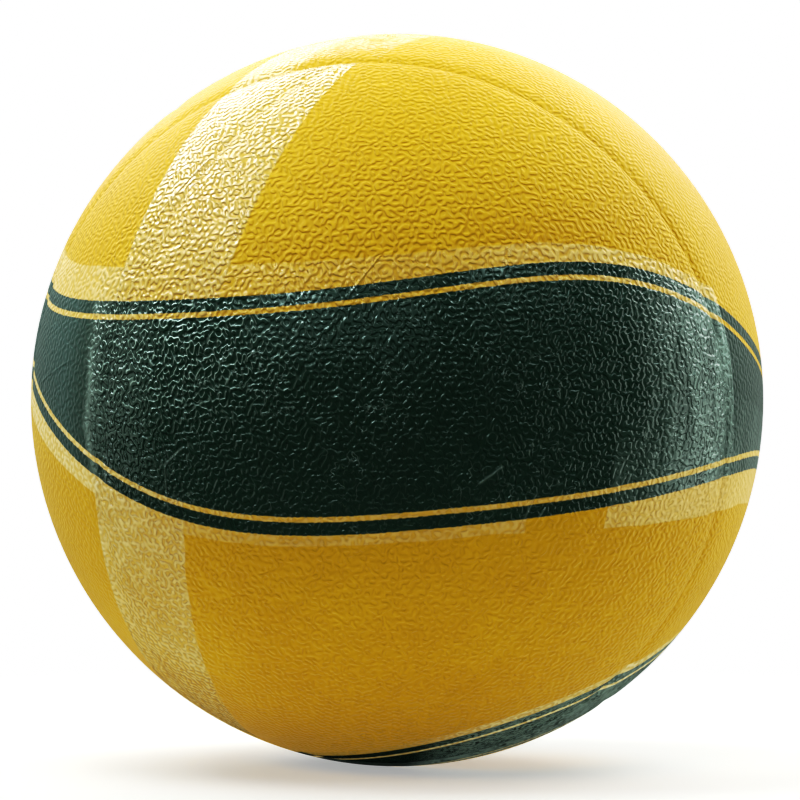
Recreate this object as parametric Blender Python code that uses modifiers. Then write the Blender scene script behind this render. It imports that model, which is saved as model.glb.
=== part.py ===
"""Volleyball: an inflated ball in layers, modelled as separate pieces.

From the inside out the ball has a bladder, a wound thread layer, a rubber lining and a cover of
ten panels. A rubber valve boss passes through every layer at the back and holds the valve core.
Units are metres, +Z is up, +X is to the viewer's right and the valve points along +Y.
The origin is the centre of the ball.
"""

import math

import bmesh
import bpy
from mathutils import Matrix, Vector

# Ball
BALL_DIAMETER = 0.210
SPHERE_DETAIL = 4

# Layers, from the outside in
COVER_THICKNESS = 0.0040
LINING_THICKNESS = 0.0015
WINDING_THICKNESS = 0.0010
BLADDER_THICKNESS = 0.0015
LAYER_GAP = 0.0004

# Seams of the cover
SEAM_GAP = 0.0003
SEAM_BEVEL = 0.0012
RIM_SPACING = 0.0030
RIM_CORNER_ANGLE = 165.0
CUT_TOLERANCE = 0.0000001

# Edges that turn by more than this stay sharp, in degrees
SHARP_ANGLE = 30.0

# The cap seam is a circle round the cap pole; angles in degrees
CAP_AZIMUTH = -11.0
CAP_ELEVATION = -8.0
CAP_RADIUS_ANGLE = 71.5

# The seams inside a cap are great circles, given by the azimuth and elevation of their poles
SIDE_SEAM_POLE = (40.5, -14.0)
CROSS_SEAM_POLE = (-56.5, 56.5)
CORNER_SEAM_POLE = (-47.0, 23.5)

# The belt between the caps is joined at this angle round the cap pole, and opposite it
BELT_JOINT_ANGLE = 125.0

# Valve
VALVE_SEGMENTS = 32
FLANGE_ARC_STEPS = 4
WELD_DISTANCE = 0.00002
NECK_RADIUS = 0.0050
FLANGE_RADIUS = 0.0120
FLANGE_THICKNESS = 0.0018
VALVE_RECESS = 0.0006
VALVE_FIT = 0.0003
CORE_RADIUS = 0.0020
CORE_HEAD_RADIUS = 0.0028
CORE_HEAD_HEIGHT = 0.0015
CORE_SINK = 0.0003
CORE_BULB_RADIUS = 0.0032
CORE_BULB_HEIGHT = 0.0030
NEEDLE_RADIUS = 0.0006
NEEDLE_FLOOR = 0.0020

# Colours and finishes
COVER_COLOUR = (0.68, 0.37, 0.01, 1.0)
LINING_COLOUR = (0.55, 0.47, 0.33, 1.0)
WINDING_COLOUR = (0.80, 0.78, 0.72, 1.0)
BLADDER_COLOUR = (0.02, 0.02, 0.022, 1.0)
BOSS_COLOUR = (0.05, 0.05, 0.05, 1.0)
CORE_COLOUR = (0.10, 0.10, 0.10, 1.0)
COVER_ROUGHNESS = 0.45
LINING_ROUGHNESS = 0.75
WINDING_ROUGHNESS = 0.80
BLADDER_ROUGHNESS = 0.50
BOSS_ROUGHNESS = 0.60
CORE_ROUGHNESS = 0.55

# Points of the ball this close to a seam are moved onto it
SNAP_DISTANCE = 2 * SEAM_BEVEL

# Derived radii
BALL_RADIUS = BALL_DIAMETER / 2
COVER_INNER = BALL_RADIUS - COVER_THICKNESS
LINING_OUTER = COVER_INNER - LAYER_GAP
LINING_INNER = LINING_OUTER - LINING_THICKNESS
WINDING_OUTER = LINING_INNER - LAYER_GAP
WINDING_INNER = WINDING_OUTER - WINDING_THICKNESS
BLADDER_OUTER = WINDING_INNER - LAYER_GAP
BLADDER_INNER = BLADDER_OUTER - BLADDER_THICKNESS

UP = Vector((0, 0, 1))
VALVE_AXIS = Vector((0, 1, 0))


def direction(azimuth, elevation):
    """Unit vector: azimuth turns from the front, -Y, towards +X."""
    turn = math.radians(azimuth)
    lift = math.radians(elevation)
    return Vector((math.sin(turn) * math.cos(lift), -math.cos(turn) * math.cos(lift), math.sin(lift)))


CAP_POLE = direction(CAP_AZIMUTH, CAP_ELEVATION)
CAP_RIGHT = UP.cross(CAP_POLE).normalized()
CAP_UP = CAP_POLE.cross(CAP_RIGHT)
CAP_DEPTH = math.cos(math.radians(CAP_RADIUS_ANGLE)) * BALL_RADIUS


def remove_all_objects():
    for item in list(bpy.data.objects):
        bpy.data.objects.remove(item, do_unlink=True)


def new_collection(name):
    group = bpy.data.collections.new(name)
    bpy.context.scene.collection.children.link(group)
    return group


def new_material(name, colour, roughness):
    material = bpy.data.materials.new(name)
    material.use_nodes = True
    shader = material.node_tree.nodes["Principled BSDF"]
    shader.inputs["Base Color"].default_value = colour
    shader.inputs["Roughness"].default_value = roughness
    shader.inputs["Metallic"].default_value = 0.0
    material.diffuse_color = colour
    return material


def new_object(name, bm, group, material):
    mesh = bpy.data.meshes.new(name)
    bm.to_mesh(mesh)
    bm.free()
    mesh.shade_smooth()
    mesh.set_sharp_from_angle(angle=math.radians(SHARP_ANGLE))
    piece = bpy.data.objects.new(name, mesh)
    group.objects.link(piece)
    mesh.materials.append(material)
    return piece


def cut_hole(piece, cutter):
    hole = piece.modifiers.new("valve_hole", "BOOLEAN")
    hole.operation = "DIFFERENCE"
    hole.solver = "EXACT"
    hole.object = cutter


# A side is (normal, depth): the piece keeps what lies beyond the plane at that depth from the centre

def flipped(side):
    normal, depth = side
    return -normal, -depth


def turned(side, turn):
    normal, depth = side
    return turn @ normal, depth


def snap_to_side(bm, side):
    """Moves points that lie close to a seam onto it, so that no sliver is left beside the cut."""
    normal, depth = side
    for vert in bm.verts:
        height = vert.co.dot(normal) - depth
        if abs(height) < SNAP_DISTANCE:
            level = vert.co - normal * vert.co.dot(normal)
            reach = math.sqrt(BALL_RADIUS ** 2 - depth ** 2)
            vert.co = normal * depth + level.normalized() * reach


def keep_side(bm, side):
    normal, depth = side
    bmesh.ops.bisect_plane(
        bm,
        geom=bm.verts[:] + bm.edges[:] + bm.faces[:],
        dist=CUT_TOLERANCE,
        plane_co=normal * (depth + SEAM_GAP / 2),
        plane_no=normal,
        clear_inner=True,
    )


def rim_edges(bm):
    return [edge for edge in bm.edges if edge.is_boundary]


def is_corner(vert):
    """A rim point where two seams meet."""
    arms = [edge.other_vert(vert).co - vert.co for edge in vert.link_edges if edge.is_boundary]
    return len(arms) == 2 and arms[0].angle(arms[1]) < math.radians(RIM_CORNER_ANGLE)


def even_rim(bm):
    """Welds rim points that crowd together and keeps the corners where they are."""
    rim = {vert for edge in rim_edges(bm) for vert in edge.verts}
    corners = [vert for vert in rim if is_corner(vert)]
    found = bmesh.ops.find_doubles(bm, verts=list(rim), keep_verts=corners, dist=RIM_SPACING)
    bmesh.ops.weld_verts(bm, targetmap=found["targetmap"])
    for vert in bm.verts:
        vert.co = vert.co.normalized() * BALL_RADIUS


def cover_panel(name, sides, group, material):
    """A patch of the ball inside the given sides, with radial walls and a bevelled outer rim."""
    bm = bmesh.new()
    bmesh.ops.create_icosphere(bm, subdivisions=SPHERE_DETAIL, radius=BALL_RADIUS)
    for side in sides:
        snap_to_side(bm, side)
    for side in sides:
        keep_side(bm, side)
    even_rim(bm)
    outer_rim = rim_edges(bm)
    inner = bmesh.ops.extrude_face_region(bm, geom=bm.faces[:], use_keep_orig=True)
    for item in inner["geom"]:
        if isinstance(item, bmesh.types.BMVert):
            item.co *= COVER_INNER / BALL_RADIUS
    bmesh.ops.recalc_face_normals(bm, faces=bm.faces[:])
    bmesh.ops.bevel(
        bm,
        geom=outer_rim,
        offset=SEAM_BEVEL,
        offset_type="OFFSET",
        segments=1,
        profile=0.5,
        affect="EDGES",
        material=-1,
    )
    return new_object(name, bm, group, material)


def cover_sides():
    """The sides that bound each panel of the cover, by panel name."""
    cap = (CAP_POLE, CAP_DEPTH)
    inward = (direction(*SIDE_SEAM_POLE), 0.0)
    above = (direction(*CROSS_SEAM_POLE), 0.0)
    near = (direction(*CORNER_SEAM_POLE), 0.0)
    front = {
        "left": [cap, flipped(inward)],
        "upper": [cap, inward, near, above],
        "lower": [cap, inward, near, flipped(above)],
        "right": [cap, inward, flipped(near)],
    }
    half_turn = Matrix.Rotation(math.pi, 3, CAP_RIGHT)
    joint = math.radians(BELT_JOINT_ANGLE - 90)
    belt_half = (CAP_RIGHT * math.cos(joint) + CAP_UP * math.sin(joint), 0.0)
    belt = [flipped(cap), flipped(turned(cap, half_turn))]
    panels = {"front_" + place + "_panel": sides for place, sides in front.items()}
    panels["belt_upper_panel"] = belt + [belt_half]
    panels["belt_lower_panel"] = belt + [flipped(belt_half)]
    for place, sides in front.items():
        panels["back_" + place + "_panel"] = [turned(side, half_turn) for side in sides]
    return panels


def round_layer(name, outer, inner, group, material):
    """A hollow ball: two skins, one inside the other, that the valve hole joins."""
    bm = bmesh.new()
    bmesh.ops.create_icosphere(bm, subdivisions=SPHERE_DETAIL, radius=outer)
    skin = bmesh.ops.duplicate(bm, geom=bm.verts[:] + bm.edges[:] + bm.faces[:])
    inner_faces = [item for item in skin["geom"] if isinstance(item, bmesh.types.BMFace)]
    for item in skin["geom"]:
        if isinstance(item, bmesh.types.BMVert):
            item.co *= inner / outer
    bmesh.ops.reverse_faces(bm, faces=inner_faces)
    return new_object(name, bm, group, material)


def flattest_share():
    """How near the centre the middle of a facet lies, as a share of the radius."""
    bm = bmesh.new()
    bmesh.ops.create_icosphere(bm, subdivisions=SPHERE_DETAIL, radius=1.0)
    share = min(face.calc_center_median().length for face in bm.faces)
    bm.free()
    return share


def turned_piece(name, profile, group, material):
    """Turns an outline of (radius, distance along the valve axis) round the valve axis."""
    bm = bmesh.new()
    points = [bm.verts.new((radius, along, 0)) for radius, along in profile]
    for start, end in zip(points, points[1:] + points[:1]):
        if start.co.x > 0 or end.co.x > 0:
            bm.edges.new((start, end))
    piece = new_object(name, bm, group, material)
    turn = piece.modifiers.new("turn", "SCREW")
    turn.axis = "Y"
    turn.angle = 2 * math.pi
    turn.steps = VALVE_SEGMENTS
    turn.render_steps = VALVE_SEGMENTS
    turn.use_merge_vertices = True
    turn.merge_threshold = WELD_DISTANCE
    turn.use_normal_calculate = True
    turn.use_normal_flip = True
    turn.use_smooth_shade = True
    return piece


def arc_points(radius, start, end, steps):
    """Points (offset from the axis, distance along it) on a circle about the ball's centre."""
    points = []
    for step in range(steps + 1):
        offset = start + (end - start) * step / steps
        points.append((offset, math.sqrt(radius ** 2 - offset ** 2)))
    return points


VALVE_TOP = BALL_RADIUS - VALVE_RECESS
CORE_TOP = VALVE_TOP - CORE_SINK
FLANGE_OUTER = BLADDER_INNER * flattest_share() - VALVE_FIT
FLANGE_INNER = FLANGE_OUTER - FLANGE_THICKNESS
BORE_RADIUS = CORE_RADIUS + VALVE_FIT
COUNTERBORE_RADIUS = CORE_HEAD_RADIUS + VALVE_FIT
COUNTERBORE_FLOOR = CORE_TOP - CORE_HEAD_HEIGHT - VALVE_FIT


def valve_boss(group, material):
    """The rubber boss: a domed flange inside the bladder and a bored neck out to the cover."""
    profile = arc_points(FLANGE_INNER, BORE_RADIUS, FLANGE_RADIUS, FLANGE_ARC_STEPS)
    profile += arc_points(FLANGE_OUTER, FLANGE_RADIUS, NECK_RADIUS, FLANGE_ARC_STEPS)
    profile += [
        (NECK_RADIUS, VALVE_TOP),
        (COUNTERBORE_RADIUS, VALVE_TOP),
        (COUNTERBORE_RADIUS, COUNTERBORE_FLOOR),
        (BORE_RADIUS, COUNTERBORE_FLOOR),
    ]
    return turned_piece("valve_boss", profile, group, material)


def valve_core(group, material):
    """The plug in the boss: a head in the counterbore, a shank and a bulb that stops it pulling out."""
    head_floor = CORE_TOP - CORE_HEAD_HEIGHT
    bulb_top = FLANGE_INNER * math.cos(math.asin(CORE_BULB_RADIUS / FLANGE_INNER)) - VALVE_FIT
    bulb_floor = bulb_top - CORE_BULB_HEIGHT
    profile = [
        (0.0, bulb_floor),
        (CORE_BULB_RADIUS, bulb_floor),
        (CORE_BULB_RADIUS, bulb_top),
        (CORE_RADIUS, bulb_top),
        (CORE_RADIUS, head_floor),
        (CORE_HEAD_RADIUS, head_floor),
        (CORE_HEAD_RADIUS, CORE_TOP),
        (NEEDLE_RADIUS, CORE_TOP),
        (NEEDLE_RADIUS, bulb_floor + NEEDLE_FLOOR),
        (0.0, bulb_floor + NEEDLE_FLOOR),
    ]
    return turned_piece("valve_core", profile, group, material)


def valve_cutter(group):
    """A rod along the valve axis that opens every layer for the neck."""
    length = COVER_THICKNESS + 2 * (BALL_RADIUS - FLANGE_INNER)
    bpy.ops.mesh.primitive_cylinder_add(
        vertices=VALVE_SEGMENTS,
        radius=NECK_RADIUS + VALVE_FIT,
        depth=length,
        location=VALVE_AXIS * BALL_RADIUS,
        rotation=(math.radians(90), 0, 0),
    )
    cutter = bpy.context.active_object
    cutter.name = "valve_hole_cutter"
    for owner in list(cutter.users_collection):
        owner.objects.unlink(cutter)
    group.objects.link(cutter)
    cutter.hide_render = True
    cutter.display_type = "WIRE"
    return cutter


def main():
    remove_all_objects()
    ball = new_collection("volleyball")
    cutters = new_collection("cutters")
    hole = valve_cutter(cutters)

    cover = new_material("cover", COVER_COLOUR, COVER_ROUGHNESS)
    lining = new_material("lining", LINING_COLOUR, LINING_ROUGHNESS)
    winding = new_material("winding", WINDING_COLOUR, WINDING_ROUGHNESS)
    bladder = new_material("bladder", BLADDER_COLOUR, BLADDER_ROUGHNESS)
    boss = new_material("valve_boss", BOSS_COLOUR, BOSS_ROUGHNESS)
    core = new_material("valve_core", CORE_COLOUR, CORE_ROUGHNESS)

    panels = {}
    for name, sides in cover_sides().items():
        panels[name] = cover_panel(name, sides, ball, cover)
    layers = [
        round_layer("lining", LINING_OUTER, LINING_INNER, ball, lining),
        round_layer("winding", WINDING_OUTER, WINDING_INNER, ball, winding),
        round_layer("bladder", BLADDER_OUTER, BLADDER_INNER, ball, bladder),
    ]
    for piece in layers + [panels["back_upper_panel"]]:
        cut_hole(piece, hole)
    valve_boss(ball, boss)
    valve_core(ball, core)


main()
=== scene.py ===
"""Volleyball: the grained cover panels, the valve and the inner layers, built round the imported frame."""

import math
from collections import namedtuple

import bmesh
import bpy
from bpy.props import FloatProperty, FloatVectorProperty, IntProperty, PointerProperty
from mathutils import Matrix, Vector


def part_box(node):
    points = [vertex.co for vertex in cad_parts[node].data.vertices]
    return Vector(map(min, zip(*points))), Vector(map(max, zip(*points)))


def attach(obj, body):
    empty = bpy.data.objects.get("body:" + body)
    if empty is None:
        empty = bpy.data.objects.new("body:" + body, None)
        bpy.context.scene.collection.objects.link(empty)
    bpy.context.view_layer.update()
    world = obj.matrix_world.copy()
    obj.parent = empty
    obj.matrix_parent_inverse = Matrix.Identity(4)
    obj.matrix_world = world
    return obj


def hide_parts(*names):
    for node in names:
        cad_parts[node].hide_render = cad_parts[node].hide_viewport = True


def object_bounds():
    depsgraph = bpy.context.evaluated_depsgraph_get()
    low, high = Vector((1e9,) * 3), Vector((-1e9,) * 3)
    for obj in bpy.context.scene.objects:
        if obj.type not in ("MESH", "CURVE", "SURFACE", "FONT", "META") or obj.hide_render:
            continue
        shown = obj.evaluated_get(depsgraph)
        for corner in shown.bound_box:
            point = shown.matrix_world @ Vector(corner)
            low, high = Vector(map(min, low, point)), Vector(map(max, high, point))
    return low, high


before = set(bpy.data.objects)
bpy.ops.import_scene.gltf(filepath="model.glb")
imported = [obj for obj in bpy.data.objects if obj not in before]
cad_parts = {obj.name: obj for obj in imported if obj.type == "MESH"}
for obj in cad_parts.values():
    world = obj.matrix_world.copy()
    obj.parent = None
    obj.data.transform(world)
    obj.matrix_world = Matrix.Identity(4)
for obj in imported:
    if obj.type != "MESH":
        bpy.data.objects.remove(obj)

bl_info = {
    "name": "Volleyball",
    "version": (1, 0, 0),
    "blender": (4, 5, 0),
    "location": "View3D > Sidebar > Volleyball",
    "description": "Builds a grained panel ball with a printed band round its packed frame",
    "category": "Object",
}

# A zone of angles in degrees: where it starts and ends, and the width of the ramps across its ends
Zone = namedtuple("Zone", "start end ramp")

# A ramp from 0 to 1: the edge at its middle, and its width
Ramp = namedtuple("Ramp", "edge width")

# A side of a panel with its seam's groove and gap, and a seam's shares of the cap seams' groove and gap
Side = namedtuple("Side", "normal depth groove gap")
Seam = namedtuple("Seam", "groove gap")

# Shader wires that belong together, for a point on the cover
Spot = namedtuple("Spot", "place unit longitude from_top from_bottom lower_half low_inside ripple")
Grain = namedtuple("Grain", "waves facing bare tight ridge")
Film = namedtuple("Film", "whole margin strip low sheen from_left past_seam left_worn right_worn")
Marks = namedtuple("Marks", "cloud slack streak crease scratch fold")

# A kind of rubber, and a lamp of the stage
Rubber = namedtuple("Rubber", "name colour dusty rough pitch")
Lamp = namedtuple("Lamp", "name place size radiance tint")

CAD_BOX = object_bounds()
BALL_RADIUS = (CAD_BOX[1].z - CAD_BOX[0].z) / 2

# Directions: up, along the valve, and from the ball to the lamps above its left side
UP = Vector((0, 0, 1))
VALVE_AXIS = Vector((0, 1, 0))
LAMPS_WAY = Vector((-0.35, 0, 0.94))

# Seams of the cover, by the azimuth and elevation of their poles in degrees
CAP_POLE_ANGLES = (-11.0, -8.0)
CAP_RADIUS_ANGLE = 71.5
SIDE_SEAM_POLE = (40.5, -14.0)
CROSS_SEAM_POLE = (-56.5, 56.5)
CORNER_SEAM_POLE = (-47.0, 23.5)
BELT_JOINT_ANGLE = 125.0

# Seams that are fainter than the round cap seams, by their shares of the groove and of the gap
SHALLOW_SEAM = Seam(0.6, 0.7)
FAINT_SEAM = Seam(0.3, 0.4)

# Distances from a seam at which a panel gets a loop of points, in metres
GROOVE_LOOPS = (0.0004, 0.0008, 0.0013, 0.0020, 0.0030, 0.0045, 0.0065)

# Main green band: its middle and half width swing with the longitude, in degrees
BAND_MIDDLE = 4.17
BAND_LEAN = -9.58
BAND_LEAN_START = -25.7
BAND_TWIST = 7.42
BAND_TWIST_START = 3.6
BAND_HALF = 14.5
BAND_SWELL = 5.25
BAND_SWELL_START = 5.0
BAND_SQUARE = -1.22
BAND_SQUARE_START = 0.4

# Second green band: a ring round a pole near the bottom, in degrees, and its film's margin in metres
LOW_BAND_POLE = (123.9, -69.5)
LOW_BAND_OUTER = 37.3
LOW_BAND_INNER = 20.0
LOW_FILM_MARGIN = 0.0034

# Soft edges in metres: of the ink, which wanders with the grain, of the band's halves and of the film
INK_EDGE = 0.00025
INK_WANDER = 0.00008
HALF_EDGE = 0.001
FILM_EDGE = 0.0004

# The film's soft edge as a turn of the ball in degrees
FILM_TURN = math.degrees(FILM_EDGE / BALL_RADIUS)

# Clear film along the main band, by longitude: where it is worn off, and where its lower edge is missing
LEFT_WEAR = Zone(-104.0, -54.0, 2.0)
RIGHT_WEAR = Zone(62.2, 108.0, FILM_TURN)
FILM_BREAK = Zone(20.0, 34.0, FILM_TURN)

# Lean of the right worn place: its turn in radians over a height of one ball radius
RIGHT_WEAR_TILT = 0.11

# Film margin above the band in metres, and how it narrows to the right for each radian of longitude
UPPER_MARGIN = 0.0072
UPPER_MARGIN_TAPER = -0.0040
UPPER_MARGIN_LIMITS = (0.0038, 0.0098)

# Film margin below the band in metres: it grows on both sides of an even stretch, given in degrees
LOWER_MARGIN = 0.0032
LOWER_MARGIN_MIDDLE = -5.0
LOWER_MARGIN_EVEN = 20.0
LOWER_MARGIN_GROWTH = 0.0068

# That growth for each radian on the right, the left's share of it, and the change between in radians
LOWER_MARGIN_TAPER = 0.0092
LOWER_MARGIN_LEFT_SHARE = 0.45
LOWER_MARGIN_CHANGE = 0.2

# Upright strip of film, between two planes: their poles, and their depths as shares of the ball's radius
STRIP_LEFT_POLE = (57.4, -9.2)
STRIP_LEFT_DEPTH = -0.315
STRIP_RIGHT_POLE = (63.7, -11.7)
STRIP_RIGHT_DEPTH = -0.078

# The strip past the upper seam: wider, whole near its left edge, and blotchy near the top of the ball
STRIP_WIDENING = 0.004
SEAM_EDGE = 0.006
WHOLE_STRIP_RAMP = Ramp(0.017, 0.004)
BLOTCH_RAMP = Ramp(0.46, 0.25)
BLOTCH_HEIGHT_RAMP = Ramp(0.915, 0.03)
BLOTCH_SHARE = 0.7

# Fine scratches in the film, from one azimuth and elevation to another in degrees, and their width in metres
SCRATCHES = (
    ((-1.7, 22.4), (-7.0, 15.5)),
    ((15.7, -9.6), (12.1, -12.2)),
    ((22.9, -15.9), (20.7, -19.7)),
    ((21.2, -13.8), (18.9, -19.2)),
    ((-33.4, -7.0), (-37.0, -9.6)),
    ((-37.0, -9.6), (-37.7, -16.2)),
    ((-72.0, 2.6), (-59.5, 5.9)),
    ((-38.6, 39.2), (-45.4, 27.1)),
)
SCRATCH_WIDTH = 0.0005

# Sizes of the features of each noise in the finish, in metres, and how far streaks are drawn out upwards
RIPPLE_PITCH = 0.012
BLOTCH_PITCH = 0.006
CLOUD_PITCH = 0.030
STREAK_PITCH = 0.004
STREAK_STRETCH = (1.0, 1.0, 6.0)
CRUMPLE_PITCH = 0.016
CREASE_PITCH = 0.0048
CREASE_GAP_PITCH = 0.0031
SLACK_PITCH = 0.010

# Wavy edges: the size of the ripple in metres, and how much of it the film's end and a scratch have
RIPPLE_SIZE = 0.0012
FILM_END_RIPPLE = 3
SCRATCH_RIPPLE = 0.5

# How far the ripple turns the edges of the worn places, in radians for each metre
LEFT_WEAR_RIPPLE = 40
RIGHT_WEAR_RIPPLE = 30

# Wrinkles: how they wander, in pitches, the phase from wave to wave, and the width of a ridge's side
WANDER_PITCH = 2.4
WANDER_SIZE = 1.1
WAVE_STEP = 2.4
RIDGE_SIDE = 1.6

# Wrinkles under film on the print: how much steeper their sides are, and how far their tops spread
TIGHT_GRAIN_GAIN = 2.2
TIGHT_GRAIN_LIFT = 0.45

# Masks that are cut from noise, which goes from 0 to 1, or from a distance in metres
STREAK_RAMP = Ramp(0.5, 0.35)
CRUMPLE_RAMP = Ramp(0.53, 0.16)
CREASE_GAP_RAMP = Ramp(0.52, 0.12)
CREASE_WIDTH = 0.018
SLACK_RAMP = Ramp(0.52, 0.30)
TONE_RAMP = Ramp(0.5, 0.5)
FRESH_RAMP = Ramp(0.58, 0.40)
FRESH_SHARE = 0.8
FOLD_LINE_RAMP = Ramp(0.0015, 0.0020)
FOLD_SHADE_RAMP = Ramp(0.006, 0.008)
FOLD_STREAK_SHARE = 0.8
RIM_RAMP = Ramp(0.0009, 0.0008)

# Parts of the film by longitude, from the left round the front to the right
LEFT_END = Zone(-95.0, -42.0, 20.0)
FOLD = Zone(-64.0, -40.0, 8.0)
# Where the print beside the fold gets its darker green as painted shade
LEFT_PAINTED_SHADE = Zone(-58.0, -40.0, 6.0)
# Where glints are painted on the wrinkles on the left of the print
LEFT_PAINTED_GLINTS = Zone(-62.0, -22.0, 22.0)
UPPER_PATCH = Zone(20.0, 95.0, 24.0)
LOWER_PATCH = Zone(FILM_BREAK.end, 95.0, 24.0)
OVERLAP = Zone(FILM_BREAK.end, 95.0, FILM_TURN)
SHEEN = Zone(50.0, RIGHT_WEAR.end, 26.0)
LOW_FRONT = Zone(15.0, 100.0, 30.0)
LOW_SHEEN = Zone(18.0, 100.0, 20.0)

# How milky the film looks on the bare cover, from 0 to 1
EDGE_MILK = 0.08
LEFT_END_MILK = 0.24
LOWER_EDGE_MILK = 0.07
LOWER_PATCH_MILK = 0.16
UPPER_PATCH_MILK = 0.20
STRIP_MILK = 0.21
STRIP_FOOT_MILK = 0.11
RIM_MILK = 0.22
LOW_EDGE_MILK = 0.10
LOW_PRINT_MILK = 0.30
LOW_FRONT_MILK = 0.36
# The film is milkier on the grain's ridges than in its valleys, which paints shade into the valleys
RIDGE_MILK = 0.9
SHADED_VALLEY_MILK = 0.55
PATCH_RIDGE_LOSS = 0.6
PATCH_VALLEY_GAIN = 0.25

# How milky the film looks on the print, with painted sheen at the band's right end
SHEEN_CLOUD_RAMP = Ramp(0.5, 0.4)
SHEEN_CLOUD_MILK = 0.13
SHEEN_STREAK_MILK = 0.27
# The sheen painted at the right end is brighter higher up the band
SHEEN_HEIGHT_RAMP = Ramp(0.035, 0.06)
SHEEN_LOW_SHARE = 0.4
LOW_SHEEN_MILK = 0.50
FOLD_LINE_MILK = 0.28
FOLD_SHADE_MILK = 0.12
CREASE_MILK = 0.18
OVERLAP_RAMP = Ramp(0.016, 0.020)
OVERLAP_STREAK_MILK = 0.07
OVERLAP_RIDGE_MILK = 0.04
OVERLAP_MILK = 0.02

# Glints painted as pale lines along the sides of the wrinkles that face the lamps: which height of a side
# they follow, and how bright they are painted
GLINT_LINE_HEIGHT = 0.35
GLINT_LINE_WIDTH = 0.5
GLINT_FACING_RAMP = Ramp(0.1, 0.8)
LEFT_GLINT_RAMP = Ramp(0.029, 0.020)
TOP_GLINT_RAMP = Ramp(0.012, 0.016)
LEFT_GLINT_PAINT = 0.60
TOP_GLINT_PAINT = 0.12
SHEEN_GLINT_PAINT = 0.20
EVEN_GLINT_PAINT = 0.06

# Relief: shares of the grain's height, where the right side is smoother, and heights in metres
BARE_RELIEF = 0.95
FILM_RELIEF = 0.20
SLACK_RELIEF = 0.20
STRIP_RELIEF = 0.55
WORN_RELIEF = 0.40
TIGHT_RELIEF = 0.80
RIGHT_SMOOTH = Zone(63.0, 112.0, 12.0)
RIGHT_SMOOTH_TILT = 0.26
FILM_HEIGHT = 0.00004
STREAK_HEIGHT = 0.00026
CREASE_HEIGHT = 0.00018
SCRATCH_HEIGHT = 0.00015

# Shine of the leather and of the film over it
PRINT_METALLIC = 0.3
LEATHER_ROUGHNESS = 0.62
LEATHER_ROUGHNESS_SPREAD = 0.06
LEATHER_SPECULAR = 0.14
LEATHER_SHEEN = 0.15
LEATHER_SHEEN_ROUGHNESS = 0.45
FILM_ROUGHNESS = 0.14
SLACK_ROUGHNESS = 0.10
SHEEN_ROUGHNESS = 0.14
FILM_SPECULAR = 0.50
MARGIN_GLOSS = 0.5
SEAM_DULLING = 0.55

# Rubbers: colour, colour where dusty, roughness and the size of the pebbles in metres
BOSS_RUBBER = Rubber("boss_rubber", (0.012, 0.012, 0.011, 1), (0.05, 0.048, 0.04, 1), 0.50, 0.00025)
CORE_RUBBER = Rubber("core_rubber", (0.020, 0.020, 0.021, 1), (0.06, 0.058, 0.05, 1), 0.38, 0.00018)
BLADDER_RUBBER = Rubber("bladder_rubber", (0.014, 0.014, 0.014, 1), (0.16, 0.15, 0.14, 1), 0.45, 0.0006)

# Dust on the rubbers: the size of its clouds in pebbles, where it lies, and how much rougher it is
DUST_PEBBLES = 20
DUST_RAMP = Ramp(0.55, 0.4)
DUST_ROUGHNESS = 0.15

# Cloth of the lining, with lengths in metres
WEAVE_PITCH = 0.0009
WEAVE_HEIGHT = 0.0002
WEAVE_SHADE = 0.3
CLOTH_CLOUD_PITCH = 0.012
CLOTH_RAMP = Ramp(0.5, 0.6)
CLOTH_DARK = (0.42, 0.34, 0.22, 1)
CLOTH_PALE = (0.58, 0.50, 0.36, 1)
CLOTH_ROUGHNESS = 0.75
CLOTH_ROUGHNESS_SPREAD = 0.1

# Thread of the winding, with lengths in metres
TWIST_PITCH = 0.0004
TWIST_HEIGHT = 0.0001
THREAD_CLOUD_PITCH = 0.010
THREAD_RAMP = Ramp(0.5, 0.5)
THREAD_DARK = (0.52, 0.49, 0.40, 1)
THREAD_PALE = (0.74, 0.71, 0.62, 1)
THREAD_ROUGHNESS = 0.35
THREAD_ROUGHNESS_SPREAD = 0.2
THREAD_SIDES = 4

# Meshes: the steps of a full turn, points that count as one in metres, and angles of sharp edges in degrees
SPIN_STEPS = 64
MERGE_DISTANCE = 1e-6
SHARP_ANGLE = 40
BEVEL_ANGLE = 35

# Tints of the lamps
WHITE = (1.0, 1.0, 1.0)
LAMP_TINT = (0.925, 1.0, 1.0)
GLINT_TINT = (0.90, 0.97, 1.06)

# Soft boxes that light the ball: place and size in metres, radiance and tint
BOXES = (
    Lamp("top_box", (-0.45, 0.0, 0.90), (0.7, 0.6), 11.4, LAMP_TINT),
    Lamp("right_top_box", (0.55, 0.30, 0.85), (0.7, 0.7), 7.0, LAMP_TINT),
    Lamp("rear_box", (0.25, 1.1, 0.75), (2.2, 0.8), 2.8, LAMP_TINT),
    Lamp("front_box", (0.25, -0.75, 1.15), (0.9, 0.7), 4.7, WHITE),
    Lamp("left_box", (-1.1, 0.15, 0.10), (0.6, 1.0), 3.2, WHITE),
    Lamp("right_box", (1.05, 0.36, 0.0), (0.6, 1.0), 5.3, WHITE),
)

# Lamps that only gleam in the ball's surface
GLINTS = (
    Lamp("left_glint", (-1.06, 0.145, 0.096), (0.6, 1.0), 1.6, WHITE),
    Lamp("right_glint", (1.01, 0.346, 0.0), (0.6, 1.0), 2.7, WHITE),
    Lamp("rear_left_glint", (-0.44, 0.87, 0.70), (0.70, 0.50), 3.0, WHITE),
    Lamp("rear_glint", (0.2, 1.1, 0.75), (2.2, 0.8), 6.8, WHITE),
    Lamp("left_tube", (-0.75, -0.05, 0.82), (2.2, 0.10), 31.0, GLINT_TINT),
    Lamp("right_tube", (0.58, 0.0, 0.85), (2.0, 0.10), 13.0, GLINT_TINT),
    Lamp("front_glint", (-0.4, -1.3, 0.70), (1.4, 0.7), 0.8, GLINT_TINT),
)

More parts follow.
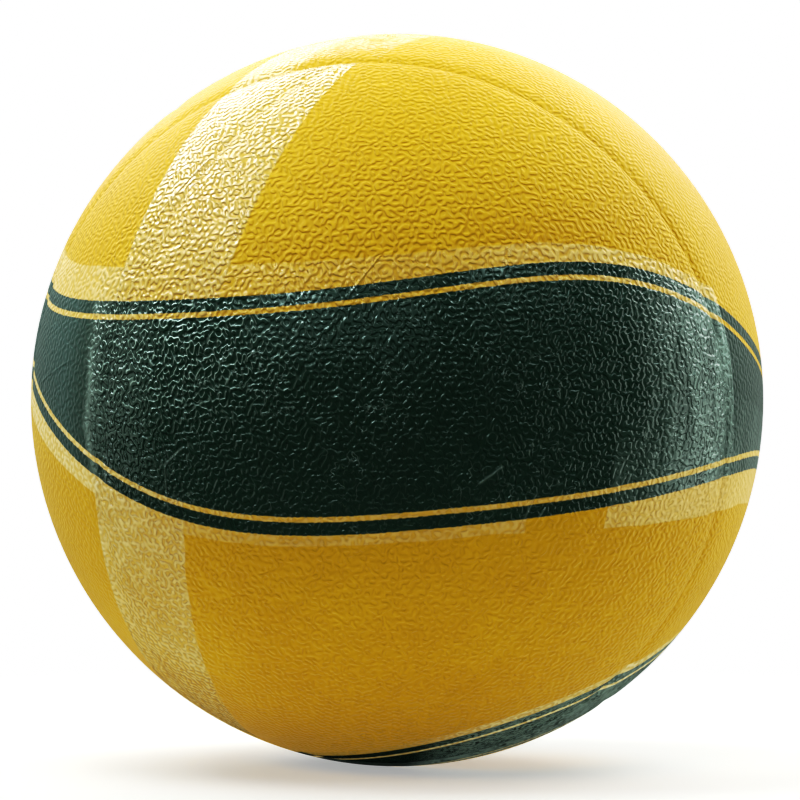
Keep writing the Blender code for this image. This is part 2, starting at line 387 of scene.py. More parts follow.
# Pale floor: its sides, its glow, its cloudy shade, and where it fades, as shares of its radius
FLOOR_SIDES = 96
FLOOR_GLOW = 0.50
FLOOR_SHADE = 0.97
FLOOR_CLOUD_PITCH = 0.05
FLOOR_ROUGHNESS = 0.8
FLOOR_SPECULAR = 0.1
FLOOR_FADE = 0.65
FLOOR_FADE_WIDTH = 0.6

# Tone of the picture: how bright some lights are shown, the light that is white, and the curve's number
TONE_SHOULDER = ((0.3, 0.3), (0.56, 0.56), (1.0, 0.80))
TONE_WHITE = 1.6
ALL_CHANNELS = 3


class VolleyballCover(bpy.types.PropertyGroup):
    """Sizes of the cover panels and of the seams between them"""

    detail: IntProperty(
        name="Detail",
        description="How often the round surface is divided",
        default=6,
        min=3,
        max=7,
    )
    thickness: FloatProperty(
        name="Thickness",
        description="Thickness of a cover panel",
        default=0.004,
        unit="LENGTH",
    )
    groove_depth: FloatProperty(
        name="Groove depth",
        description="Depth of the groove along the round cap seams",
        default=0.00025,
        unit="LENGTH",
    )
    groove_width: FloatProperty(
        name="Groove width",
        description="Distance from a seam in which its groove fades",
        default=0.0009,
        unit="LENGTH",
    )
    pillow_depth: FloatProperty(
        name="Pillow depth",
        description="How far a panel sinks towards its rim",
        default=0.00045,
        unit="LENGTH",
    )
    pillow_width: FloatProperty(
        name="Pillow width",
        description="Distance from a seam in which a panel sinks",
        default=0.0026,
        unit="LENGTH",
    )
    seam_gap: FloatProperty(
        name="Seam gap",
        description="Gap between panels at the round cap seams",
        default=0.00006,
        unit="LENGTH",
    )


class VolleyballValve(bpy.types.PropertyGroup):
    """Sizes of the valve; its length and its flange come from the frame"""

    neck: FloatProperty(
        name="Neck radius",
        description="Radius of the rubber neck that ends in the cover",
        default=0.0050,
        unit="LENGTH",
    )
    flange: FloatProperty(
        name="Flange thickness",
        description="Thickness of the flange inside the bladder",
        default=0.0018,
        unit="LENGTH",
    )
    core: FloatProperty(
        name="Core radius",
        description="Radius of the plug in the neck",
        default=0.0020,
        unit="LENGTH",
    )
    head: FloatProperty(
        name="Head radius",
        description="Radius of the plug's head",
        default=0.0028,
        unit="LENGTH",
    )
    head_height: FloatProperty(
        name="Head height",
        description="Height of the plug's head",
        default=0.0015,
        unit="LENGTH",
    )
    bulb: FloatProperty(
        name="Bulb radius",
        description="Radius of the plug's inner end",
        default=0.0032,
        unit="LENGTH",
    )
    bulb_height: FloatProperty(
        name="Bulb height",
        description="Height of the plug's inner end",
        default=0.0030,
        unit="LENGTH",
    )
    needle: FloatProperty(
        name="Needle radius",
        description="Radius of the channel for the pump needle",
        default=0.0006,
        unit="LENGTH",
    )
    needle_floor: FloatProperty(
        name="Needle floor",
        description="Thickness of the plug below the needle channel",
        default=0.0020,
        unit="LENGTH",
    )
    fit: FloatProperty(
        name="Fit",
        description="Gap between the valve and what it passes through",
        default=0.0003,
        unit="LENGTH",
    )
    rounding: FloatProperty(
        name="Rounding",
        description="Radius of the valve's moulded edges",
        default=0.0002,
        unit="LENGTH",
    )


class VolleyballLayers(bpy.types.PropertyGroup):
    """Sizes of the layers below the cover; their outer radii come from the frame"""

    detail: IntProperty(
        name="Detail",
        description="How often the round layers are divided",
        default=5,
        min=3,
        max=6,
    )
    lining: FloatProperty(
        name="Lining",
        description="Thickness of the cloth lining",
        default=0.0015,
        unit="LENGTH",
    )
    winding: FloatProperty(
        name="Winding",
        description="Thickness of the wound thread",
        default=0.0010,
        unit="LENGTH",
    )
    bladder: FloatProperty(
        name="Bladder",
        description="Thickness of the rubber bladder",
        default=0.0015,
        unit="LENGTH",
    )
    thread: FloatProperty(
        name="Thread radius",
        description="Radius of the wound thread",
        default=0.0003,
        unit="LENGTH",
    )
    turns: IntProperty(
        name="Turns",
        description="Number of turns of thread",
        default=220,
        min=20,
        max=300,
    )


class VolleyballFinish(bpy.types.PropertyGroup):
    """Colours and surface of the cover and its print"""

    yellow: FloatVectorProperty(
        name="Yellow",
        description="Colour of the bare cover",
        subtype="COLOR",
        size=4,
        default=(0.62, 0.385, 0.004, 1.0),
    )
    deep_yellow: FloatVectorProperty(
        name="Deep yellow",
        description="Colour of the cover where it is darker",
        subtype="COLOR",
        size=4,
        default=(0.58, 0.345, 0.003, 1.0),
    )
    green: FloatVectorProperty(
        name="Green",
        description="Colour of the printed band",
        subtype="COLOR",
        size=4,
        default=(0.025, 0.064, 0.043, 1.0),
    )
    worn_green: FloatVectorProperty(
        name="Worn green",
        description="Colour of the print where no film covers it",
        subtype="COLOR",
        size=4,
        default=(0.042, 0.096, 0.077, 1.0),
    )
    milk: FloatVectorProperty(
        name="Film milk",
        description="Milky tint of the clear film on the bare cover",
        subtype="COLOR",
        size=4,
        default=(0.95, 0.87, 0.52, 1.0),
    )
    # The print's milky film, and also the colour of the sheen and glints painted on the print
    green_milk_and_glints: FloatVectorProperty(
        name="Film milk on green",
        description="Milky tint of the clear film on the print",
        subtype="COLOR",
        size=4,
        default=(0.62, 0.85, 0.74, 1.0),
    )
    border: FloatProperty(
        name="Border",
        description="Width of green outside the thin stripe",
        default=0.0037,
        unit="LENGTH",
    )
    stripe: FloatProperty(
        name="Stripe",
        description="Width of the thin yellow stripe",
        default=0.0015,
        unit="LENGTH",
    )
    grain_pitch: FloatProperty(
        name="Grain pitch",
        description="Distance between the wrinkles of the grain",
        default=0.00165,
        unit="LENGTH",
    )
    grain_height: FloatProperty(
        name="Grain height",
        description="Height of the wrinkles of the grain",
        default=0.00020,
        unit="LENGTH",
    )


class VolleyballStage(bpy.types.PropertyGroup):
    """Camera, floor and studio light"""

    camera_distance: FloatProperty(
        name="Camera distance",
        description="Distance from the camera to the middle of the ball",
        default=1.2,
        unit="LENGTH",
    )
    lens: FloatProperty(
        name="Lens",
        description="Focal length of the camera in millimetres",
        default=187.66,
    )
    frame_shift: FloatProperty(
        name="Frame shift",
        description="Sideways shift of the picture, as a share of its width",
        default=0.0036,
    )
    picture_gamma: FloatProperty(
        name="Picture gamma",
        description="Contrast of the picture; a lower value is harder",
        default=0.65,
    )
    room_light: FloatProperty(
        name="Room light",
        description="Strength of the even light of the room",
        default=0.235,
    )
    room_colour: FloatVectorProperty(
        name="Room colour",
        description="Colour of the even light of the room",
        subtype="COLOR",
        size=4,
        default=(1.0, 0.94, 0.80, 1.0),
    )
    backdrop_radius: FloatProperty(
        name="Backdrop radius",
        description="Radius of the white backdrop",
        default=6.0,
        unit="LENGTH",
    )
    floor_radius: FloatProperty(
        name="Floor radius",
        description="Radius of the pale floor",
        default=0.45,
        unit="LENGTH",
    )
    floor_colour: FloatVectorProperty(
        name="Floor",
        description="Colour of the pale floor",
        subtype="COLOR",
        size=4,
        default=(0.58, 0.57, 0.56, 1.0),
    )


def direction(azimuth, elevation):
    """Unit vector: azimuth turns from the front, -Y, towards +X, in degrees."""
    turn = math.radians(azimuth)
    lift = math.radians(elevation)
    return Vector((math.sin(turn) * math.cos(lift), -math.cos(turn) * math.cos(lift), math.sin(lift)))


# Shader nodes


class Wire:
    """One output of a shader node; arithmetic on it adds Math nodes"""

    def __init__(self, tree, socket=None):
        self.tree = tree
        self.socket = socket

    def node(self, kind, settings, sockets, output=0):
        """Add a node: first its settings, then the values or links of its sockets."""
        made = self.tree.nodes.new(kind)
        for name, value in settings.items():
            setattr(made, name, value)
        for key, value in sockets.items():
            if isinstance(value, Wire):
                self.tree.links.new(value.socket, made.inputs[key])
            else:
                made.inputs[key].default_value = value
        return Wire(self.tree, made.outputs[output])

    def other(self, output):
        """Another output of the same node."""
        return Wire(self.tree, self.socket.node.outputs[output])

    def maths(self, operation, *values, clamp=False):
        """A Math node with these values or wires in its sockets."""
        settings = {"operation": operation, "use_clamp": clamp}
        return self.node("ShaderNodeMath", settings, dict(enumerate(values)))

    def __add__(self, value):
        return self.maths("ADD", self, value)

    def __radd__(self, value):
        return self.maths("ADD", value, self)

    def __sub__(self, value):
        return self.maths("SUBTRACT", self, value)

    def __rsub__(self, value):
        return self.maths("SUBTRACT", value, self)

    def __mul__(self, value):
        return self.maths("MULTIPLY", self, value)

    def __rmul__(self, value):
        return self.maths("MULTIPLY", value, self)

    def __truediv__(self, value):
        return self.maths("DIVIDE", self, value)

    def __neg__(self):
        return self.maths("MULTIPLY", self, -1.0)

    def __abs__(self):
        return self.maths("ABSOLUTE", self)

    def sine(self):
        return self.maths("SINE", self)

    def cosine(self):
        return self.maths("COSINE", self)

    def smaller(self, value):
        return self.maths("MINIMUM", self, value)

    def larger(self, value):
        return self.maths("MAXIMUM", self, value)

    def past(self, edge, width):
        """0 before the edge and 1 after it, with a ramp of that width across it."""
        ramp = (self - edge) / width
        return self.maths("ADD", ramp, 0.5, clamp=True)

    def dot(self, vector):
        sockets = {0: self, 1: tuple(vector)}
        return self.node("ShaderNodeVectorMath", {"operation": "DOT_PRODUCT"}, sockets, "Value")

    def noise(self, pitch, detail=0.0, roughness=0.5):
        """Noise with features of about that size, from 0 to 1."""
        sockets = {"Vector": self, "Scale": 1 / pitch, "Detail": detail, "Roughness": roughness}
        return self.node("ShaderNodeTexNoise", {"noise_dimensions": "3D"}, sockets)

    def bump(self, strength, distance):
        """Normals of a surface with these heights."""
        sockets = {"Strength": strength, "Distance": distance, "Height": self}
        return self.node("ShaderNodeBump", {}, sockets, "Normal")

    def mixed(self, first, second):
        """The first colour where this is 0 and the second where it is 1."""
        # A Mix node has its colours in sockets 6 and 7, and the mixed colour in output 2
        return self.node("ShaderNodeMix", {"data_type": "RGBA"}, {0: self, 6: first, 7: second}, 2)


def new_material(name):
    """A new material, the wire that its nodes start from, and its shader."""
    material = bpy.data.materials.new(name)
    material.use_nodes = True
    return material, Wire(material.node_tree), material.node_tree.nodes["Principled BSDF"]


def link(wire, shader, socket):
    wire.tree.links.new(wire.socket, shader.inputs[socket])


def link_shaders(mix, first, second):
    """Join two shaders in a mix, and make the mix the surface of its material."""
    tree = mix.tree
    tree.links.new(first.outputs[0], mix.socket.node.inputs[1])
    tree.links.new(second.outputs[0], mix.socket.node.inputs[2])
    tree.links.new(mix.socket, tree.nodes["Material Output"].inputs["Surface"])


def object_place(start):
    return start.node("ShaderNodeTexCoord", {}, {}, "Object")


# Cover material


def band_reach(unit):
    """Longitude of a point, and how far it lies below the main band's top and above its bottom."""
    parts = unit.node("ShaderNodeSeparateXYZ", {}, {0: unit})
    longitude = parts.maths("ARCTAN2", parts, -parts.other("Y"))
    latitude = parts.maths("ARCSINE", parts.other("Z"))
    lean = longitude - math.radians(BAND_LEAN_START)
    twist = (longitude - math.radians(BAND_TWIST_START)) * 2
    swell = (longitude - math.radians(BAND_SWELL_START)) * 2
    square = (longitude - math.radians(BAND_SQUARE_START)) * 4
    lean_size = math.radians(BAND_LEAN)
    twist_size = math.radians(BAND_TWIST)
    swell_size = math.radians(BAND_SWELL)
    square_size = math.radians(BAND_SQUARE)
    middle = lean.sine() * lean_size + twist.sine() * twist_size + math.radians(BAND_MIDDLE)
    half = swell.cosine() * swell_size + square.cosine() * square_size + math.radians(BAND_HALF)
    middle_slope = lean.cosine() * lean_size + twist.cosine() * (2 * twist_size)
    half_slope = swell.sine() * (-2 * swell_size) + square.sine() * (-4 * square_size)
    from_top = (middle + half - latitude) / slant(middle_slope + half_slope)
    from_bottom = (latitude - middle + half) / slant(middle_slope - half_slope)
    return longitude, from_top * BALL_RADIUS, from_bottom * BALL_RADIUS


def slant(slope):
    """Length of a sloping line for each unit of width."""
    square = slope * slope + 1
    return square.maths("SQRT", square)


def ring_inside(unit, pole, outer, inner):
    """How far a point lies inside a ring round a pole, in metres."""
    angle = unit.dot(direction(*pole))
    angle = angle.maths("ARCCOSINE", angle)
    return (math.radians(outer) - angle).smaller(angle - math.radians(inner)) * BALL_RADIUS


def wrinkles(place, pitch):
    """Winding wrinkles of even size, and how far each side of one faces the lamps.

    They are waves in ten directions through wandering points.
    """
    golden = (1 + math.sqrt(5)) / 2
    ways = [(1, 1, 1), (-1, 1, 1), (1, -1, 1), (1, 1, -1)]
    for side in (golden, -golden):
        ways += [(0, 1 / golden, side), (side, 0, 1 / golden), (1 / golden, side, 0)]
    drift = place.node("ShaderNodeVectorMath", {"operation": "SCALE"}, {
        0: place.noise(pitch * WANDER_PITCH).other("Color"), "Scale": pitch * WANDER_SIZE,
    })
    place = place.node("ShaderNodeVectorMath", {"operation": "ADD"}, {0: place, 1: drift})
    height = 0.0
    facing = 0.0
    for step, way in enumerate(ways):
        way = Vector(way).normalized()
        wave = place.dot(way * (2 * math.pi / pitch)) + WAVE_STEP * step
        height = height + wave.cosine()
        facing = facing + wave.sine() * way.dot(LAMPS_WAY)
    share = math.sqrt(len(ways) / 2)
    return height / share, facing / share


def levelled(height):
    """The same ups and downs with flat tops and floors, from -1 to 1."""
    return height / slant(height)


def between(angle, zone):
    """1 inside a zone of angles and 0 outside it, with ramps across its ends."""
    start, end, ramp = (math.radians(turn) for turn in zone)
    return angle.past(start, ramp) * (1 - angle.past(end, ramp))


def cover_spot(start):
    """Where a point lies on the ball and against its bands, and the ripple of the film's edges there."""
    place = object_place(start)
    unit = place.node("ShaderNodeVectorMath", {"operation": "NORMALIZE"}, {0: place})
    longitude, from_top, from_bottom = band_reach(unit)
    return Spot(
        place=place,
        unit=unit,
        longitude=longitude,
        from_top=from_top,
        from_bottom=from_bottom,
        lower_half=(from_top - from_bottom).past(0.0, HALF_EDGE),
        low_inside=ring_inside(unit, LOW_BAND_POLE, LOW_BAND_OUTER, LOW_BAND_INNER),
        ripple=(place.noise(RIPPLE_PITCH, detail=1.0) - 0.5) * RIPPLE_SIZE,
    )


def cover_grain(spot, finish):
    """The wrinkles of the bare cover, the tighter ones under film on the print, and where the ridges are."""
    waves, facing = wrinkles(spot.place, finish.grain_pitch)
    bare = levelled(waves)
    tight = levelled(waves * TIGHT_GRAIN_GAIN + TIGHT_GRAIN_LIFT)
    return Grain(waves, facing, bare, tight, bare.past(0.0, RIDGE_SIDE))


def cover_print(spot, grain, finish):
    """How far a point lies inside a green band, and the green without the thin stripes."""
    printed = spot.from_top.smaller(spot.from_bottom).larger(spot.low_inside) + grain.bare * INK_WANDER
    stripe_start = printed.past(finish.border, INK_EDGE)
    stripe_end = printed.past(finish.border + finish.stripe, INK_EDGE)
    return printed, printed.past(0.0, INK_EDGE) * (1 - stripe_start * (1 - stripe_end))


def film_reach(spot):
    """How far a point lies inside the film along the main band, in metres."""
    longitude = spot.longitude
    upper = (longitude * UPPER_MARGIN_TAPER + UPPER_MARGIN).larger(UPPER_MARGIN_LIMITS[0])
    upper = upper.smaller(UPPER_MARGIN_LIMITS[1])
    aside = abs(longitude - math.radians(LOWER_MARGIN_MIDDLE)) - math.radians(LOWER_MARGIN_EVEN)
    right_share = longitude.past(0.0, LOWER_MARGIN_CHANGE) * (1 - LOWER_MARGIN_LEFT_SHARE)
    taper = (right_share + LOWER_MARGIN_LEFT_SHARE) * LOWER_MARGIN_TAPER
    lower = (aside.larger(0.0) * taper).smaller(LOWER_MARGIN_GROWTH) + LOWER_MARGIN
    return (spot.from_top + upper).smaller(spot.from_bottom + lower)


def film_strip(spot):
    """The upright strip of film, the distance from its left edge, and where the upper seam is passed."""
    unit = spot.unit
    from_left = (unit.dot(direction(*STRIP_LEFT_POLE)) - STRIP_LEFT_DEPTH) * BALL_RADIUS + spot.ripple
    from_right = (STRIP_RIGHT_DEPTH - unit.dot(direction(*STRIP_RIGHT_POLE))) * BALL_RADIUS + spot.ripple
    cap_edge = math.cos(math.radians(CAP_RADIUS_ANGLE))
    past_seam = 1 - unit.dot(direction(*CAP_POLE_ANGLES)).past(cap_edge, SEAM_EDGE)
    inside = from_left.smaller(from_right + past_seam * STRIP_WIDENING)
    blotch = spot.place.noise(BLOTCH_PITCH, detail=3.0).past(*BLOTCH_RAMP)
    blotch = blotch * unit.dot(UP).past(*BLOTCH_HEIGHT_RAMP) * BLOTCH_SHARE
    blotch = blotch.larger(1 - (from_left + spot.ripple * FILM_END_RIPPLE).past(*WHOLE_STRIP_RAMP))
    strip = inside.past(0.0, FILM_EDGE) * (1 - past_seam * (1 - blotch))
    return strip, from_left, past_seam


def cover_film(spot, printed):
    """Where clear film covers the ball: along the main band, in the upright strip and on the lower band."""
    margin = (film_reach(spot) + spot.ripple).past(0.0, FILM_EDGE)
    missing = between(spot.longitude, FILM_BREAK) * spot.lower_half * (1 - printed.past(0.0, INK_EDGE))
    left_worn = between(spot.longitude + spot.ripple * LEFT_WEAR_RIPPLE, LEFT_WEAR)
    tilted = spot.longitude + spot.unit.dot(UP) * RIGHT_WEAR_TILT
    right_worn = between(tilted + spot.ripple * RIGHT_WEAR_RIPPLE, RIGHT_WEAR)
    margin = margin * (1 - missing) * (1 - right_worn * (1 - spot.lower_half))
    band = margin * (1 - left_worn) * (1 - right_worn)
    strip, from_left, past_seam = film_strip(spot)
    low = (spot.low_inside + LOW_FILM_MARGIN + spot.ripple).past(0.0, FILM_EDGE)
    return Film(
        whole=band.larger(strip).larger(low),
        margin=margin,
        strip=strip,
        low=low,
        sheen=band * between(spot.longitude, SHEEN),
        from_left=from_left,
        past_seam=past_seam,
        left_worn=left_worn,
        right_worn=right_worn,
    )


def scratched(spot):
    """1 along each scratch and 0 elsewhere."""
    total = 0.0
    for ends in SCRATCHES:
        first, last = (direction(*end) for end in ends)
        middle = (first + last).normalized()
        reach = first.dot(middle)
        across = spot.unit.dot(first.cross(last).normalized()) * BALL_RADIUS
        across = abs(across + spot.ripple * SCRATCH_RIPPLE)
        line = 1 - across.past(SCRATCH_WIDTH / 2, SCRATCH_WIDTH)
        total = total + line * spot.unit.dot(middle).past(reach, (1 - reach) / 2)
    return total.smaller(1.0)


def film_fold(spot, film, streak):
    """Milky folds where the film is bunched up at its left end."""
    end = (spot.longitude - math.radians(LEFT_WEAR.end)) * BALL_RADIUS + spot.ripple * FILM_END_RIPPLE
    inside = film.from_left.larger(end)
    line = (1 - inside.past(*FOLD_LINE_RAMP)) * FOLD_LINE_MILK
    shade = (1 - inside.past(*FOLD_SHADE_RAMP)) * FOLD_SHADE_MILK
    uneven = streak * FOLD_STREAK_SHARE + (1 - FOLD_STREAK_SHARE)
    return film.whole * between(spot.longitude, FOLD) * (line + shade) * uneven


def film_marks(spot, film):
    """Clouds and slack places, and the film's upright streaks, creases, scratches and folds."""
    place = spot.place
    sockets = {"Vector": place, "Scale": STREAK_STRETCH}
    upright = place.node("ShaderNodeMapping", {"vector_type": "TEXTURE"}, sockets)
    streak = upright.noise(STREAK_PITCH, detail=2.0).past(*STREAK_RAMP)
    crease = (1 - abs(place.noise(CREASE_PITCH, detail=2.0) - 0.5) / CREASE_WIDTH).larger(0.0)
    crease = crease * place.noise(CRUMPLE_PITCH, detail=2.0).past(*CRUMPLE_RAMP)
    crease = crease * place.noise(CREASE_GAP_PITCH).past(*CREASE_GAP_RAMP)
    scratch = scratched(spot)
    return Marks(
        cloud=place.noise(CLOUD_PITCH, detail=3.0),
        slack=place.noise(SLACK_PITCH, detail=2.0).past(*SLACK_RAMP),
        streak=streak,
        crease=crease.larger(scratch) * film.whole,
        scratch=scratch,
        fold=film_fold(spot, film, streak),
    )


def bare_milk(spot, grain, film, marks):
    """How milky the film looks on the bare cover, with less milk in the grain's valleys as painted shade."""
    lower = spot.lower_half
    lower_patch = film.margin * between(spot.longitude, LOWER_PATCH) * lower
    upper_patch = film.margin * between(spot.longitude, UPPER_PATCH) * (1 - lower)
    edge = between(spot.longitude, LEFT_END) * LEFT_END_MILK + lower * LOWER_EDGE_MILK + EDGE_MILK
    milk = film.margin * edge + lower_patch * LOWER_PATCH_MILK + upper_patch * UPPER_PATCH_MILK
    milk = milk.larger(film.strip * (lower * STRIP_FOOT_MILK + STRIP_MILK))
    low_print = spot.low_inside.past(0.0, INK_EDGE) * LOW_PRINT_MILK
    low_front = between(spot.longitude, LOW_FRONT) * LOW_FRONT_MILK
    milk = milk.larger(film.low * (low_print + low_front + LOW_EDGE_MILK))
    # Less milk in the valleys than on the ridges: painted shade in the grain
    ridges = grain.ridge * (RIDGE_MILK - lower_patch * PATCH_RIDGE_LOSS)
    shaded_valleys = lower_patch * PATCH_VALLEY_GAIN + SHADED_VALLEY_MILK
    rim = film.strip * (1 - film.from_left.past(*RIM_RAMP))
    return milk * (marks.cloud + 0.5) * (ridges + shaded_valleys) + rim * marks.streak * RIM_MILK


def painted_wrinkle_glints(spot, grain, film):
    """Glints painted under the film: pale lines along the sides of the wrinkles that face the lamps."""
    left = between(spot.longitude, LEFT_PAINTED_GLINTS) * (1 - spot.from_top.past(*LEFT_GLINT_RAMP))
    top = 1 - spot.from_top.past(*TOP_GLINT_RAMP)
    # How bright the glints are painted: most on the upper left of the print, less along the band's top and
    # at its right end, a little everywhere under the film
    milk = left * LEFT_GLINT_PAINT + top * TOP_GLINT_PAINT + film.sheen * SHEEN_GLINT_PAINT + EVEN_GLINT_PAINT
    line = (1 - abs(grain.waves - GLINT_LINE_HEIGHT) / GLINT_LINE_WIDTH).larger(0.0)
    return line * grain.facing.past(*GLINT_FACING_RAMP) * film.whole * milk


def print_milk(spot, grain, film, marks):
    """How milky the film looks on the print, with painted sheen at its right end and painted glints on its
    wrinkles.
    """
    # At the right end the milky film is partly painted sheen, brighter towards the top of the band
    height = spot.from_bottom.past(*SHEEN_HEIGHT_RAMP) + SHEEN_LOW_SHARE
    clouds = marks.cloud.past(*SHEEN_CLOUD_RAMP) * SHEEN_CLOUD_MILK
    right_end_milk_and_sheen = film.sheen * (clouds + marks.streak * SHEEN_STREAK_MILK) * height
    overlap = film.margin * between(spot.longitude, OVERLAP) * (1 - spot.from_bottom.past(*OVERLAP_RAMP))
    overlap_ridges = grain.ridge * OVERLAP_RIDGE_MILK
    overlap = overlap * (marks.streak * OVERLAP_STREAK_MILK + overlap_ridges + OVERLAP_MILK)
    # The print's milk also carries the painted glints on its wrinkles
    milk = right_end_milk_and_sheen + overlap + marks.fold + marks.crease * CREASE_MILK + painted_wrinkle_glints(spot, grain, film)
    low_front = film.low * between(spot.longitude, LOW_SHEEN)
    return milk.larger(low_front * marks.streak.larger(grain.ridge) * LOW_SHEEN_MILK)


def cover_colour(spot, grain, film, marks, green, finish):
    """Yellow leather and green print, each under its milky film, with shade painted into the grain's
    valleys, darker print painted as shade beside the fold, and sheen and glints painted on the print.
    """
    yellow = marks.cloud.past(*TONE_RAMP).mixed(tuple(finish.deep_yellow), tuple(finish.yellow))
    yellow = bare_milk(spot, grain, film, marks).mixed(yellow, tuple(finish.milk))
    fresh_or_shaded_print = film.whole.larger(marks.cloud.past(*FRESH_RAMP) * FRESH_SHARE)
    # Beside the fold on the left the darker green is painted as shade; the worn right end gets the darker
    # green too
    fresh_or_shaded_print = fresh_or_shaded_print.larger(between(spot.longitude, LEFT_PAINTED_SHADE)).larger(film.right_worn)
    dark = fresh_or_shaded_print.mixed(tuple(finish.worn_green), tuple(finish.green))
    # The print under its milky film, with painted sheen and painted glints in the same colour
    dark = print_milk(spot, grain, film, marks).mixed(dark, tuple(finish.green_milk_and_glints))
    return green.mixed(yellow, dark)


def cover_relief(spot, grain, film, marks, green, finish):
    """Normals of the grain, of the film's edges and of the streaks, creases and scratches in it."""
    tilted = spot.longitude + spot.unit.dot(UP) * RIGHT_SMOOTH_TILT
    worn = film.left_worn + between(tilted, RIGHT_SMOOTH)
    share = film.whole * (FILM_RELIEF - marks.slack * SLACK_RELIEF) + film.strip * STRIP_RELIEF
    share = share + BARE_RELIEF - worn * WORN_RELIEF
    wrinkled = grain.bare + film.whole * green * (grain.tight * TIGHT_RELIEF - grain.bare)
    height = wrinkled * share * finish.grain_height + film.whole * FILM_HEIGHT
    height = height + film.sheen * marks.streak * STREAK_HEIGHT
    height = height + marks.crease * CREASE_HEIGHT + marks.scratch * SCRATCH_HEIGHT
    return height.bump(strength=1.0, distance=1.0)


def cover_material(finish):
    """Grained yellow leather with green bands, thin stripes and glossy clear film."""
    material, start, leather = new_material("cover_leather")
    gloss = start.tree.nodes.new("ShaderNodeBsdfPrincipled")
    spot = cover_spot(start)
    grain = cover_grain(spot, finish)
    printed, green = cover_print(spot, grain, finish)
    film = cover_film(spot, printed)
    marks = film_marks(spot, film)
    colour = cover_colour(spot, grain, film, marks, green, finish)
    relief = cover_relief(spot, grain, film, marks, green, finish)
    for layer in (leather, gloss):
        link(colour, layer, "Base Color")
        link(green * PRINT_METALLIC, layer, "Metallic")
        link(relief, layer, "Normal")
    link((marks.cloud - 0.5) * LEATHER_ROUGHNESS_SPREAD + LEATHER_ROUGHNESS, leather, "Roughness")
    link(marks.slack * SLACK_ROUGHNESS + film.sheen * SHEEN_ROUGHNESS + FILM_ROUGHNESS, gloss, "Roughness")
    leather.inputs["Specular IOR Level"].default_value = LEATHER_SPECULAR
    leather.inputs["Sheen Weight"].default_value = LEATHER_SHEEN
    leather.inputs["Sheen Roughness"].default_value = LEATHER_SHEEN_ROUGHNESS
    gloss.inputs["Specular IOR Level"].default_value = FILM_SPECULAR
    glossy = green.larger(film.strip) * (1 - MARGIN_GLOSS) + MARGIN_GLOSS
    glossy = film.whole * glossy * (1 - film.past_seam * SEAM_DULLING)
    surface = glossy.node("ShaderNodeMixShader", {}, {0: glossy})
    link_shaders(surface, leather, gloss)
    return material


# Cover panels


def valve_hole(valve):
    """Radius of the hole that the valve's neck passes through."""
    return valve.neck + valve.fit


def flipped(side):
    return side._replace(normal=-side.normal, depth=-side.depth)


def turned(side, turn):
    return side._replace(normal=turn @ side.normal)


def seam_side(normal, seam, cover):
    """A side along a seam that lies in a plane through the ball's middle."""
    return Side(normal, 0.0, cover.groove_depth * seam.groove, cover.seam_gap * seam.gap)


def cover_sides(cover):
    """The sides that bound each panel of the cover, by the name of its CAD node."""
    pole = direction(*CAP_POLE_ANGLES)
    right = UP.cross(pole).normalized()
    top = pole.cross(right)
    cap_depth = math.cos(math.radians(CAP_RADIUS_ANGLE)) * BALL_RADIUS
    cap = Side(pole, cap_depth, cover.groove_depth, cover.seam_gap)
    inward = seam_side(direction(*SIDE_SEAM_POLE), SHALLOW_SEAM, cover)
    above = seam_side(direction(*CROSS_SEAM_POLE), FAINT_SEAM, cover)
    near = seam_side(direction(*CORNER_SEAM_POLE), FAINT_SEAM, cover)
    front = {
        "left": [cap, flipped(inward)],
        "upper": [cap, inward, near, above],
        "lower": [cap, inward, near, flipped(above)],
        "right": [cap, inward, flipped(near)],
    }
    half_turn = Matrix.Rotation(math.pi, 3, right)
    joint = math.radians(BELT_JOINT_ANGLE - 90)
    belt_normal = right * math.cos(joint) + top * math.sin(joint)
    belt_half = seam_side(belt_normal, SHALLOW_SEAM, cover)
    belt = [flipped(cap), flipped(turned(cap, half_turn))]
    hole = valve_hole(bpy.context.scene.volleyball_valve) / BALL_RADIUS
    hole_depth = -math.cos(hole) * BALL_RADIUS
    panels = {"front_" + quarter + "_panel": sides for quarter, sides in front.items()}
    panels["belt_upper_panel"] = belt + [belt_half]
    panels["belt_lower_panel"] = belt + [flipped(belt_half)]
    for quarter, sides in front.items():
        panels["back_" + quarter + "_panel"] = [turned(side, half_turn) for side in sides]
    panels["back_upper_panel"].append(Side(-VALVE_AXIS, hole_depth, cover.groove_depth, 0.0))
    return panels


def side_angle(side):
    """Angle from the side's normal to its seam."""
    return math.acos(side.depth / BALL_RADIUS)


def cut(bm, side, distance, clear):
    """Cut the ball along a line at a distance inside a seam."""
    depth = BALL_RADIUS * math.cos(side_angle(side) - distance / BALL_RADIUS)
    bmesh.ops.bisect_plane(
        bm,
        geom=bm.verts[:] + bm.edges[:] + bm.faces[:],
        dist=MERGE_DISTANCE,
        plane_co=side.normal * depth,
        plane_no=side.normal,
        clear_inner=clear,
    )


def sink(co, sides, cover):
    """How deep the cover lies at a point: a groove at each seam and a soft pillow beside it."""
    groove = 0.0
    pillow = 0.0
    for side in sides:
        angle = math.acos(max(-1.0, min(1.0, co.normalized().dot(side.normal))))
        distance = max(0.0, (side_angle(side) - angle) * BALL_RADIUS)
        groove = max(groove, side.groove * math.exp(-distance / cover.groove_width))
        share = side.groove / cover.groove_depth
        pillow = max(pillow, share * cover.pillow_depth * math.exp(-(distance / cover.pillow_width) ** 2))
    return groove + pillow


